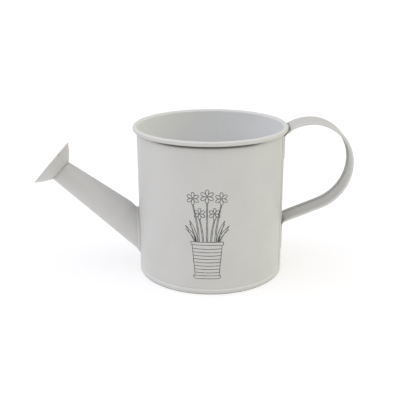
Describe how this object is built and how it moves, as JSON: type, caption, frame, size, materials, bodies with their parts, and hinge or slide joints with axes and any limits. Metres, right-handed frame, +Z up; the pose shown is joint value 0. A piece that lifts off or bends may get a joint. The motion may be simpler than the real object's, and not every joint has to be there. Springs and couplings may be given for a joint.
{
  "type": "watering can",
  "caption": "Small round open-topped watering can of painted sheet metal, with a tapered spout ending in a flared rose and a looped strap handle.",
  "frame": {"origin": "on the ground, midway between the tip of the rose and the back of the handle, and midway across the can", "axes": "+Z up along the can's own axis, which stands 15.9 mm towards +X from the origin; +X towards the handle, -X towards the spout"},
  "size_m": [0.274, 0.132, 0.1334],
  "materials": {
    "paint_can": "satin off-white enamel",
    "rim_wire": "drawn wire",
    "paint_spout": "satin off-white enamel",
    "paint_rose": "satin off-white enamel",
    "paint_handle": "satin off-white enamel"
  },
  "bodies": {
    "root": {"can_wall": "paint_can", "base_disc": "paint_can", "rim_wire": "rim_wire", "spout_tube": "paint_spout", "spout_collar": "paint_spout", "rose_cone": "paint_rose", "rose_faceplate": "paint_rose", "handle_strap": "paint_handle"}
  },
  "joints": []
}
